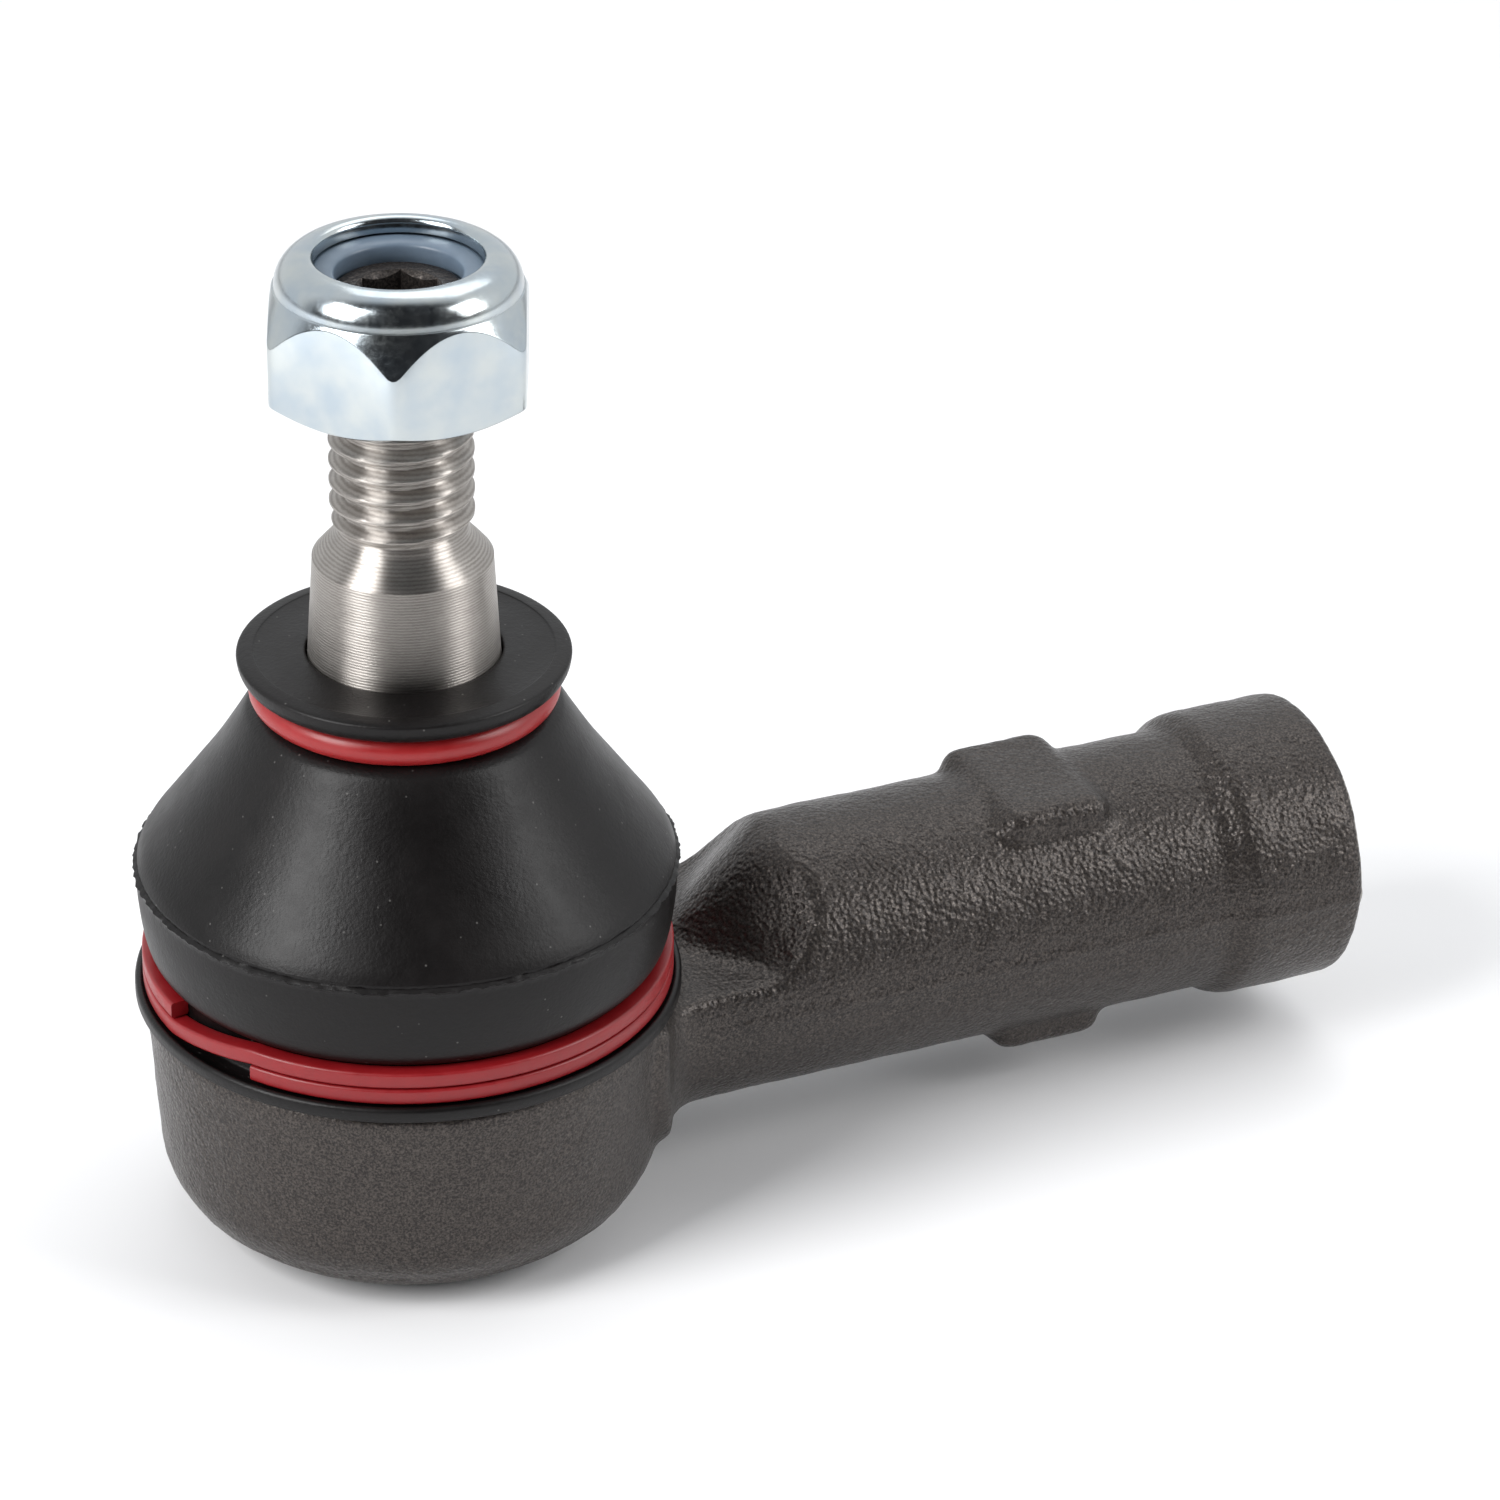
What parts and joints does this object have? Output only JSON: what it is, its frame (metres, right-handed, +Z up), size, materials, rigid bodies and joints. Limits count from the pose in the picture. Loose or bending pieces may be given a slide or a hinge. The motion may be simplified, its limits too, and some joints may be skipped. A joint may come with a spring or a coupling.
{
  "type": "tie rod end",
  "caption": "Ball joint in a forged cup with a threaded shank, tapered stud, rubber dust boot with red retaining rings and a nylon-insert lock nut.",
  "frame": {"origin": "centre of the housing's underside, on the stud's axis", "axes": "+Z up the stud from the ball to the nut, +X along the shank from the cup to its threaded end"},
  "size_m": [0.0913, 0.0386, 0.0734],
  "materials": {
    "forged_steel": "shot-blasted forging, oiled dark brown-grey",
    "pressed_steel": "pressed sheet, machined bare",
    "spring_steel": "hardened strip, satin",
    "acetal": "moulded acetal, satin",
    "turned_steel": "turned and ground alloy steel",
    "boot_rubber": "moulded chloroprene, matt with a light bloom",
    "red_wire": "flat spring wire, red lacquer",
    "red_ring": "smooth round ring, glossy red",
    "nylon": "moulded nylon, blue-grey",
    "zinc_plated_steel": "bright blue-passivated zinc plating"
  },
  "bodies": {
    "housing": {"housing": "forged_steel", "closing_plate": "pressed_steel", "preload_spring": "spring_steel", "lower_bearing_shell": "acetal", "upper_bearing_shell": "acetal"},
    "boot": {"dust_boot": "boot_rubber", "boot_clamp_ring": "red_wire"},
    "boot_neck": {"boot_neck_ring": "red_ring"},
    "stud": {"ball_stud": "turned_steel"},
    "nut_carrier": {"nut_insert": "nylon"},
    "nut": {"lock_nut": "zinc_plated_steel"}
  },
  "joints": [
    {"name": "boot_turn", "type": "hinge", "parent": "housing", "child": "boot", "pos_m": [0, 0, 0.01375], "axis": [0, 0, 1], "continuous": true},
    {"name": "stud_tilt", "type": "hinge", "parent": "boot", "child": "boot_neck", "pos_m": [0, 0, 0.01375], "axis": [0, 1, 0], "range_deg": [-25, 25], "deforming": ["dust_boot"]},
    {"name": "stud_spin", "type": "hinge", "parent": "boot_neck", "child": "stud", "pos_m": [0, 0, 0.01375], "axis": [0, 0, 1], "continuous": true},
    {"name": "nut_travel", "type": "slide", "parent": "stud", "child": "nut_carrier", "axis": [0, 0, 1], "range_m": [-0.0091, 0.0061], "deforming": ["nut_insert"]},
    {"name": "nut_turn", "type": "hinge", "parent": "nut_carrier", "child": "nut", "pos_m": [0, 0, 0.0684], "axis": [0, 0, 1], "range_deg": [-2160, 1440]}
  ],
  "couplings": [
    {"joint": "nut_travel", "follows": "nut_turn", "m_per_rad": 0.00023873}
  ]
}
